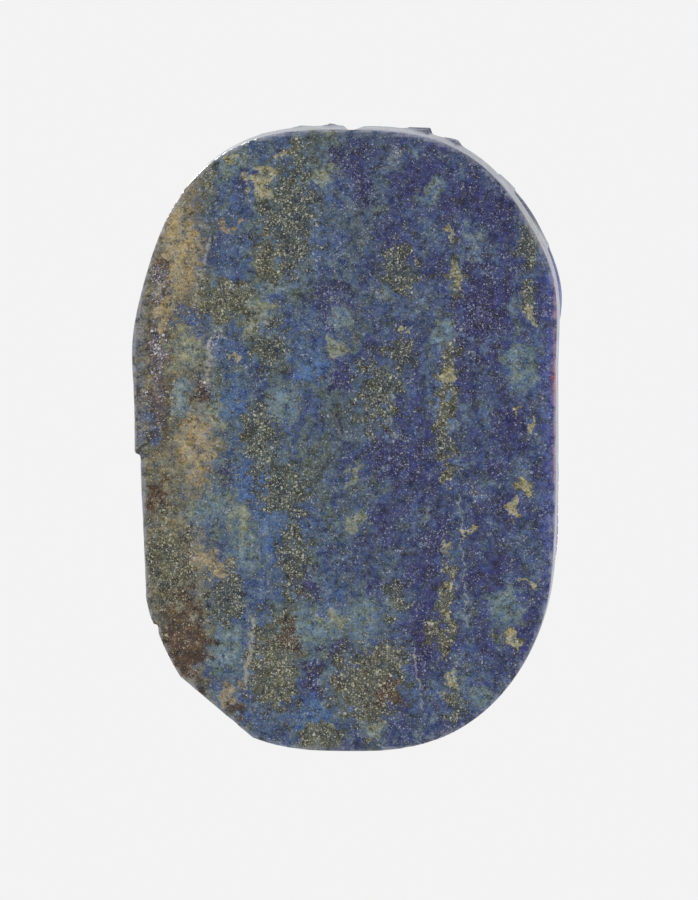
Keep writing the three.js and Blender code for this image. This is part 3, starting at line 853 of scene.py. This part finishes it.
FLOOR_REACH, FLOOR_DROP = 3.0, 0.0001
FLOOR_GREY, WORLD_WHITE = (0.58, 0.58, 0.58, 1), (0.896, 0.896, 0.896, 1)
CAMERA_DISTANCE = 0.6
VIEW_WIDTH = 0.03305
SENSOR_WIDTH = 36
AIM = Vector((0.0002, 0.0004, 0.0))

floor_mesh = bpy.data.meshes.new("floor")
round_the_corners = [(-1, -1), (1, -1), (1, 1), (-1, 1)]
floor_corners = [(x * FLOOR_REACH, y * FLOOR_REACH, 0) for x, y in round_the_corners]
floor_mesh.from_pydata(floor_corners, [], [(0, 1, 2, 3)])
floor = bpy.data.objects.new("floor", floor_mesh)
bpy.context.collection.objects.link(floor)
floor.location.z = -FLOOR_DROP
floor_look = bpy.data.materials.new("pale_floor")
floor_look.use_nodes = True
nodes, links = floor_look.node_tree.nodes, floor_look.node_tree.links
matt = nodes["Principled BSDF"]
matt.inputs["Base Color"].default_value = FLOOR_GREY
matt.inputs["Roughness"].default_value = 0.9
clear = nodes.new("ShaderNodeBsdfTransparent")
side_seen = nodes.new("ShaderNodeNewGeometry")
one_sided = nodes.new("ShaderNodeMixShader")
links.new(side_seen.outputs["Backfacing"], one_sided.inputs[0])
links.new(matt.outputs["BSDF"], one_sided.inputs[1])
links.new(clear.outputs["BSDF"], one_sided.inputs[2])
links.new(one_sided.outputs["Shader"], nodes["Material Output"].inputs["Surface"])
floor_mesh.materials.append(floor_look)
floor.visible_shadow = False
floor.visible_diffuse = False
floor.visible_glossy = False
floor.visible_transmission = False

world = bpy.data.worlds.new("studio")
bpy.context.scene.world = world
world.use_nodes = True
world.node_tree.nodes["Background"].inputs["Color"].default_value = WORLD_WHITE
bpy.context.scene.view_settings.view_transform = "Standard"


def soft_light(name, place, size, power):
    """A square lamp that faces the amulet, with its size in metres and its power in watts."""
    data = bpy.data.lights.new(name, "AREA")
    data.size, data.energy = size, power
    lamp = bpy.data.objects.new(name, data)
    bpy.context.collection.objects.link(lamp)
    lamp.location = place
    lamp.rotation_euler = (-Vector(place)).to_track_quat("-Z", "Y").to_euler()


soft_light("key", (-0.35, -0.3, 0.5), size=0.3, power=3)
soft_light("fill", (0.5, 0.2, 0.3), size=0.4, power=1.0)
soft_light("under", (-0.3, -0.45, -0.3), size=0.2, power=0.9)

towards_head, towards_right = math.radians(6.0), math.radians(3.8)
camera_data = bpy.data.cameras.new("camera")
camera = bpy.data.objects.new("camera", camera_data)
bpy.context.collection.objects.link(camera)
back_axis = Vector((math.tan(towards_right), -math.tan(towards_head), -1)).normalized()
right_axis = Vector((0, -1, 0)).cross(back_axis).normalized()
up_axis = back_axis.cross(right_axis)
stand = Matrix((right_axis, up_axis, back_axis)).transposed().to_4x4()
camera.matrix_world = Matrix.Translation(AIM + CAMERA_DISTANCE * back_axis) @ stand
camera_data.sensor_fit = "HORIZONTAL"
camera_data.sensor_width = SENSOR_WIDTH
camera_data.lens = SENSOR_WIDTH * CAMERA_DISTANCE / VIEW_WIDTH
camera_data.clip_start, camera_data.clip_end = 0.01, 10
bpy.context.scene.camera = camera
